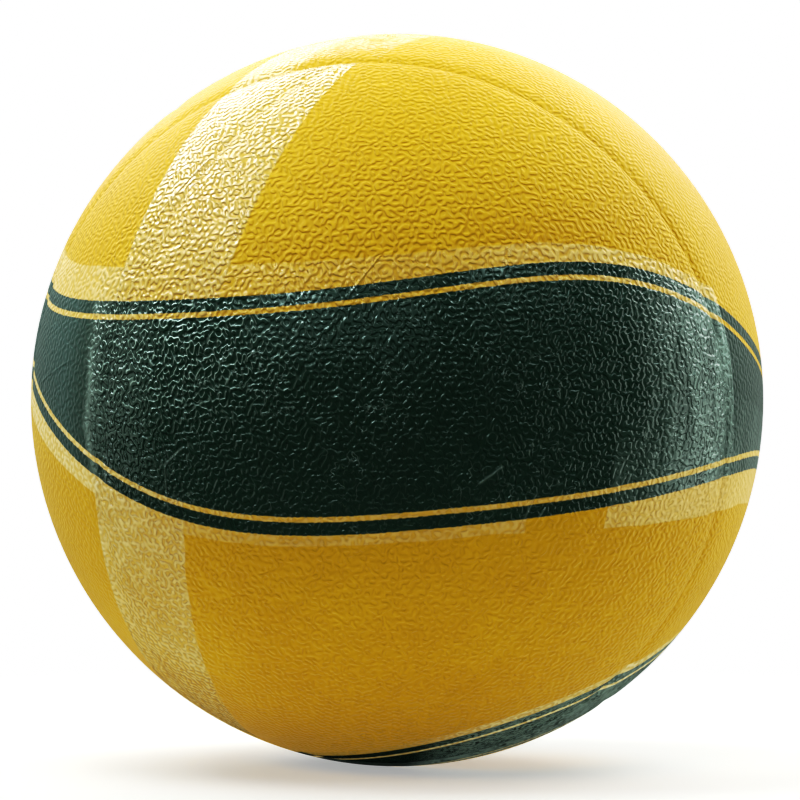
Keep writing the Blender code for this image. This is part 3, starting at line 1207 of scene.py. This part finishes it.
def cover_panel(name, sides, cover):
    """A panel of the ball with grooved rims, radial walls and an inner face."""
    bm = bmesh.new()
    bmesh.ops.create_icosphere(bm, subdivisions=cover.detail, radius=BALL_RADIUS)
    for side in sides:
        cut(bm, side, side.gap / 2, True)
    for side in sides:
        for distance in GROOVE_LOOPS:
            cut(bm, side, distance, False)
    bmesh.ops.triangulate(bm, faces=bm.faces[:])
    inner = bmesh.ops.extrude_face_region(bm, geom=bm.faces[:], use_keep_orig=True)
    inner_verts = {item for item in inner["geom"] if isinstance(item, bmesh.types.BMVert)}
    for vert in bm.verts:
        if vert in inner_verts:
            vert.co = vert.co.normalized() * (BALL_RADIUS - cover.thickness)
        else:
            vert.co = vert.co.normalized() * (BALL_RADIUS - sink(vert.co, sides, cover))
    bmesh.ops.recalc_face_normals(bm, faces=bm.faces[:])
    return new_piece(name, bm)


def new_piece(name, bm):
    mesh = bpy.data.meshes.new(name)
    bm.to_mesh(mesh)
    bm.free()
    mesh.shade_smooth()
    mesh.set_sharp_from_angle(angle=math.radians(SHARP_ANGLE))
    piece = bpy.data.objects.new(name, mesh)
    bpy.context.scene.collection.objects.link(piece)
    return piece


def place_piece(piece, node, material):
    """Put a finished piece on the ball's body in place of its CAD node."""
    piece.data.materials.append(material)
    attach(piece, "root")
    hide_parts(node)


class VOLLEYBALL_OT_cover(bpy.types.Operator):
    """Model the ten cover panels with their seams, print and film"""

    bl_idname = "volleyball.cover"
    bl_label = "Cover panels"

    def execute(self, context):
        cover = context.scene.volleyball_cover
        leather = cover_material(context.scene.volleyball_finish)
        for node, sides in cover_sides(cover).items():
            piece = cover_panel("grained_" + node, sides, cover)
            place_piece(piece, node, leather)
        return {"FINISHED"}


# Valve


def rubber_material(rubber):
    """Moulded rubber with a fine pebbled skin and a little dust."""
    material, start, shader = new_material(rubber.name)
    place = object_place(start)
    dust = place.noise(rubber.pitch * DUST_PEBBLES, detail=4.0, roughness=0.6).past(*DUST_RAMP)
    pebbles = place.noise(rubber.pitch, detail=2.0)
    link(dust.mixed(rubber.colour, rubber.dusty), shader, "Base Color")
    link(dust * DUST_ROUGHNESS + rubber.rough, shader, "Roughness")
    link(pebbles.bump(strength=0.6, distance=rubber.pitch / 3), shader, "Normal")
    return material


def arc(radius, start, end, steps=5):
    """Points of a profile on a sphere, from one distance off the axis to another."""
    points = []
    for step in range(steps + 1):
        aside = start + (end - start) * step / steps
        points.append((aside, math.sqrt(radius * radius - aside * aside)))
    return points


def spin_round(bm, section, axis):
    """Turn a section once round an axis through the ball's middle."""
    bmesh.ops.spin(
        bm,
        geom=section,
        cent=(0, 0, 0),
        axis=axis,
        angle=2 * math.pi,
        steps=SPIN_STEPS,
        use_merge=True,
    )


def turned_piece(name, profile, closed, rounding):
    """A piece turned round the valve's axis, from points given by distance off the axis and along it."""
    bm = bmesh.new()
    verts = [bm.verts.new((aside, along, 0)) for aside, along in profile]
    edges = [bm.edges.new(pair) for pair in zip(verts, verts[1:])]
    if closed:
        edges.append(bm.edges.new((verts[-1], verts[0])))
    spin_round(bm, verts + edges, VALVE_AXIS)
    bmesh.ops.remove_doubles(bm, verts=bm.verts[:], dist=MERGE_DISTANCE)
    bmesh.ops.recalc_face_normals(bm, faces=bm.faces[:])
    limit = math.radians(BEVEL_ANGLE)
    sharp = [edge for edge in bm.edges if edge.is_manifold and edge.calc_face_angle() > limit]
    bmesh.ops.bevel(
        bm,
        geom=sharp,
        offset=rounding,
        affect="EDGES",
        segments=2,
        profile=0.5,
        material=-1,
        clamp_overlap=True,
    )
    return new_piece(name, bm)


def boss_profile(valve):
    """Flange on the bladder's inside, and a neck with a stepped bore."""
    low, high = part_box("valve_boss")
    core_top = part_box("valve_core")[1].y
    inner = math.hypot(low.y, high.x)
    bore = valve.core + valve.fit
    step = valve.head + valve.fit
    floor = core_top - valve.head_height - valve.fit
    profile = arc(inner, bore, high.x) + arc(inner + valve.flange, high.x, valve.neck)
    return profile + [(valve.neck, high.y), (step, high.y), (step, floor), (bore, floor)]


def core_profile(valve):
    """Plug with a head, a slim stem, a bulb at its inner end and a channel for the pump needle."""
    low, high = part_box("valve_core")
    bulb_top = low.y + valve.bulb_height
    head_floor = high.y - valve.head_height
    mouth = 2 * valve.needle
    return [
        (0, low.y),
        (valve.bulb, low.y),
        (valve.bulb, bulb_top),
        (valve.core, bulb_top),
        (valve.core, head_floor),
        (valve.head, head_floor),
        (valve.head, high.y),
        (mouth, high.y),
        (valve.needle, high.y - valve.needle),
        (valve.needle, low.y + valve.needle_floor),
        (0, low.y + valve.needle_floor),
    ]


class VOLLEYBALL_OT_valve(bpy.types.Operator):
    """Turn the rubber valve boss and the plug in it"""

    bl_idname = "volleyball.valve"
    bl_label = "Valve"

    def execute(self, context):
        valve = context.scene.volleyball_valve
        boss = turned_piece("moulded_valve_boss", boss_profile(valve), True, valve.rounding)
        core = turned_piece("moulded_valve_core", core_profile(valve), False, valve.rounding)
        place_piece(boss, "valve_boss", rubber_material(BOSS_RUBBER))
        place_piece(core, "valve_core", rubber_material(CORE_RUBBER))
        return {"FINISHED"}


# Layers below the cover


def cloth_material():
    """Pale rubbered cloth with a plain weave."""
    material, start, shader = new_material("lining_cloth")
    place = object_place(start)
    weave = 1.0
    for way in ((1, 0, 0), (0, 1, 0), (0, 0, 1)):
        weave = weave * place.dot(Vector(way) * (math.pi / WEAVE_PITCH)).cosine()
    cloud = place.noise(CLOTH_CLOUD_PITCH, detail=3.0)
    tone = (cloud + weave * WEAVE_SHADE).past(*CLOTH_RAMP)
    link(tone.mixed(CLOTH_DARK, CLOTH_PALE), shader, "Base Color")
    link(cloud * CLOTH_ROUGHNESS_SPREAD + CLOTH_ROUGHNESS, shader, "Roughness")
    link(weave.bump(strength=0.8, distance=WEAVE_HEIGHT), shader, "Normal")
    return material


def thread_material():
    """Off-white twisted thread with a soft shine."""
    material, start, shader = new_material("nylon_thread")
    place = object_place(start)
    cloud = place.noise(THREAD_CLOUD_PITCH, detail=2.0)
    twist = place.noise(TWIST_PITCH, detail=1.0)
    tone = ((cloud + twist) / 2).past(*THREAD_RAMP)
    link(tone.mixed(THREAD_DARK, THREAD_PALE), shader, "Base Color")
    link(cloud * THREAD_ROUGHNESS_SPREAD + THREAD_ROUGHNESS, shader, "Roughness")
    link(twist.bump(strength=0.7, distance=TWIST_HEIGHT), shader, "Normal")
    return material


def layer_shell(name, outer, thickness, hole, detail):
    """A round layer with an outer and an inner face and a hole for the valve."""
    bm = bmesh.new()
    bmesh.ops.create_icosphere(bm, subdivisions=detail, radius=outer)
    bmesh.ops.bisect_plane(
        bm,
        geom=bm.verts[:] + bm.edges[:] + bm.faces[:],
        dist=MERGE_DISTANCE,
        plane_co=VALVE_AXIS * math.sqrt(outer * outer - hole * hole),
        plane_no=VALVE_AXIS,
        clear_outer=True,
    )
    inner = bmesh.ops.extrude_face_region(bm, geom=bm.faces[:], use_keep_orig=True)
    for item in inner["geom"]:
        if isinstance(item, bmesh.types.BMVert):
            item.co *= (outer - thickness) / outer
    bmesh.ops.recalc_face_normals(bm, faces=bm.faces[:])
    return new_piece(name, bm)


def thread_ring(radius, thread):
    """One closed turn of thread round the upright axis."""
    bm = bmesh.new()
    section = bmesh.ops.create_circle(bm, segments=THREAD_SIDES, radius=thread)["verts"]
    bmesh.ops.rotate(bm, verts=section, matrix=Matrix.Rotation(math.pi / 2, 3, "X"))
    bmesh.ops.translate(bm, verts=section, vec=(radius, 0, 0))
    spin_round(bm, section + bm.edges[:], UP)
    bmesh.ops.recalc_face_normals(bm, faces=bm.faces[:])
    ring = bpy.data.meshes.new("thread_ring")
    bm.to_mesh(ring)
    bm.free()
    return ring


def thread_turns(name, outer, layers, clear):
    """Turns of thread round the bladder in every direction, none of them across the valve."""
    bm = bmesh.new()
    thread = layers.thread
    room = layers.winding - 2 * thread
    ring = thread_ring(outer - thread, thread)
    golden_angle = math.pi * (3 - math.sqrt(5))
    for turn in range(layers.turns):
        lift = (turn + 0.5) / layers.turns
        swing = turn * golden_angle
        aside = math.sqrt(1 - lift * lift)
        pole = Vector((aside * math.cos(swing), aside * math.sin(swing), lift))
        if abs(pole.dot(VALVE_AXIS)) * outer < clear + thread:
            continue
        tight = 1 - room * turn / layers.turns / outer
        copy = ring.copy()
        copy.transform(UP.rotation_difference(pole).to_matrix().to_4x4() @ Matrix.Scale(tight, 4))
        bm.from_mesh(copy)
        bpy.data.meshes.remove(copy)
    bpy.data.meshes.remove(ring)
    return new_piece(name, bm)


class VOLLEYBALL_OT_layers(bpy.types.Operator):
    """Model the cloth lining, the wound thread and the rubber bladder"""

    bl_idname = "volleyball.layers"
    bl_label = "Inner layers"

    def execute(self, context):
        layers = context.scene.volleyball_layers
        hole = valve_hole(context.scene.volleyball_valve)
        lining_outer, winding_outer, bladder_outer = (
            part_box(node)[1].z for node in ("lining", "winding", "bladder")
        )
        lining = layer_shell("woven_lining", lining_outer, layers.lining, hole, layers.detail)
        place_piece(lining, "lining", cloth_material())
        winding = thread_turns("wound_thread", winding_outer, layers, hole)
        place_piece(winding, "winding", thread_material())
        bladder = layer_shell("moulded_bladder", bladder_outer, layers.bladder, hole, layers.detail)
        place_piece(bladder, "bladder", rubber_material(BLADDER_RUBBER))
        return {"FINISHED"}


# Stage


def area_light(lamp, gleams):
    """A lamp that faces the middle of the ball, and either only gleams in it or only lights it."""
    light = bpy.data.lights.new(lamp.name, "AREA")
    light.color = lamp.tint
    light.shape = "RECTANGLE"
    light.size, light.size_y = lamp.size
    light.energy = lamp.radiance * math.pi * light.size * light.size_y
    box = bpy.data.objects.new(lamp.name, light)
    box.location = lamp.place
    box.rotation_euler = (-Vector(lamp.place)).to_track_quat("-Z", "Y").to_euler()
    box.visible_camera = False
    box.visible_diffuse = not gleams
    box.visible_glossy = gleams
    bpy.context.scene.collection.objects.link(box)


def floor_material(stage):
    """Pale floor that fades into the white background."""
    material, start, shader = new_material("pale_floor")
    place = object_place(start)
    reach = place.node("ShaderNodeVectorMath", {"operation": "LENGTH"}, {0: place}, "Value")
    white = tuple(stage.floor_colour)
    grey = tuple(FLOOR_SHADE * part for part in white[:3]) + (1.0,)
    link(place.noise(FLOOR_CLOUD_PITCH, detail=4.0).mixed(grey, white), shader, "Base Color")
    shader.inputs["Roughness"].default_value = FLOOR_ROUGHNESS
    shader.inputs["Specular IOR Level"].default_value = FLOOR_SPECULAR
    shader.inputs["Emission Color"].default_value = (1, 1, 1, 1)
    shader.inputs["Emission Strength"].default_value = FLOOR_GLOW
    fade = 1 - reach.past(stage.floor_radius * FLOOR_FADE, stage.floor_radius * FLOOR_FADE_WIDTH)
    link(fade, shader, "Alpha")
    return material


def round_floor(stage):
    """A pale disc under the ball."""
    bm = bmesh.new()
    bmesh.ops.create_circle(bm, cap_ends=True, segments=FLOOR_SIDES, radius=stage.floor_radius)
    bmesh.ops.translate(bm, verts=bm.verts[:], vec=(0, 0, CAD_BOX[0].z))
    floor = new_piece("floor", bm)
    floor.data.materials.append(floor_material(stage))
    floor.visible_glossy = False


def white_backdrop(stage):
    """A plain white dome round the stage that only the camera sees."""
    bm = bmesh.new()
    bmesh.ops.create_icosphere(bm, subdivisions=3, radius=stage.backdrop_radius)
    bmesh.ops.reverse_faces(bm, faces=bm.faces[:])
    dome = new_piece("backdrop", bm)
    material, _, shader = new_material("white_backdrop")
    shader.inputs["Base Color"].default_value = (0, 0, 0, 1)
    shader.inputs["Specular IOR Level"].default_value = 0.0
    shader.inputs["Emission Color"].default_value = (1, 1, 1, 1)
    shader.inputs["Emission Strength"].default_value = TONE_WHITE
    dome.data.materials.append(material)
    dome.visible_diffuse = False
    dome.visible_glossy = False
    dome.visible_transmission = False
    dome.visible_shadow = False


def picture_tone(view, stage):
    """A hard picture with a soft shoulder, as from a small camera."""
    view.view_transform = "Standard"
    view.gamma = stage.picture_gamma
    view.use_curve_mapping = True
    tone = view.curve_mapping
    tone.white_level = (TONE_WHITE, TONE_WHITE, TONE_WHITE)
    curve = tone.curves[ALL_CHANNELS]
    for light, shown in TONE_SHOULDER:
        curve.points.new(light / TONE_WHITE, shown)
    tone.update()


def soft_room(scene, stage):
    """Even light from all sides, which doesn't gleam in the film."""
    world = bpy.data.worlds.new("soft_room")
    world.use_nodes = True
    room = world.node_tree.nodes["Background"]
    room.inputs["Color"].default_value = stage.room_colour
    room.inputs["Strength"].default_value = stage.room_light
    world.cycles_visibility.glossy = False
    scene.world = world


def front_camera(scene, stage):
    """A camera level with the middle of the ball, in front of it."""
    lens = bpy.data.cameras.new("camera")
    lens.lens = stage.lens
    lens.shift_x = stage.frame_shift
    camera = bpy.data.objects.new("camera", lens)
    camera.location = (0, -stage.camera_distance, 0)
    camera.rotation_euler = (math.radians(90), 0, 0)
    scene.collection.objects.link(camera)
    scene.camera = camera


class VOLLEYBALL_OT_stage(bpy.types.Operator):
    """Make the floor, the studio light, the white background and the camera"""

    bl_idname = "volleyball.stage"
    bl_label = "Stage"

    def execute(self, context):
        scene = context.scene
        stage = scene.volleyball_stage
        round_floor(stage)
        for lamp in BOXES:
            area_light(lamp, gleams=False)
        for lamp in GLINTS:
            area_light(lamp, gleams=True)
        white_backdrop(stage)
        soft_room(scene, stage)
        picture_tone(scene.view_settings, stage)
        front_camera(scene, stage)
        return {"FINISHED"}


class VOLLEYBALL_PT_sidebar(bpy.types.Panel):
    """Sizes and colours of the volleyball, and the steps that build it"""

    bl_idname = "VOLLEYBALL_PT_sidebar"
    bl_label = "Volleyball"
    bl_space_type = "VIEW_3D"
    bl_region_type = "UI"
    bl_category = "Volleyball"

    def draw(self, context):
        for group in SETTINGS:
            settings = getattr(context.scene, group)
            for name in settings.__annotations__:
                self.layout.prop(settings, name)
        for step in STEPS:
            self.layout.operator(step.bl_idname)


SETTINGS = {
    "volleyball_cover": VolleyballCover,
    "volleyball_valve": VolleyballValve,
    "volleyball_layers": VolleyballLayers,
    "volleyball_finish": VolleyballFinish,
    "volleyball_stage": VolleyballStage,
}
STEPS = (
    VOLLEYBALL_OT_cover,
    VOLLEYBALL_OT_valve,
    VOLLEYBALL_OT_layers,
    VOLLEYBALL_OT_stage,
)
CLASSES = (*SETTINGS.values(), *STEPS, VOLLEYBALL_PT_sidebar)


def register():
    for item in CLASSES:
        bpy.utils.register_class(item)
    for name, group in SETTINGS.items():
        setattr(bpy.types.Scene, name, PointerProperty(type=group))


def unregister():
    for name in SETTINGS:
        delattr(bpy.types.Scene, name)
    for item in reversed(CLASSES):
        bpy.utils.unregister_class(item)


def main():
    """Build every piece and the stage."""
    register()
    bpy.ops.volleyball.cover()
    bpy.ops.volleyball.valve()
    bpy.ops.volleyball.layers()
    bpy.ops.volleyball.stage()


if __name__ == "__main__":
    main()
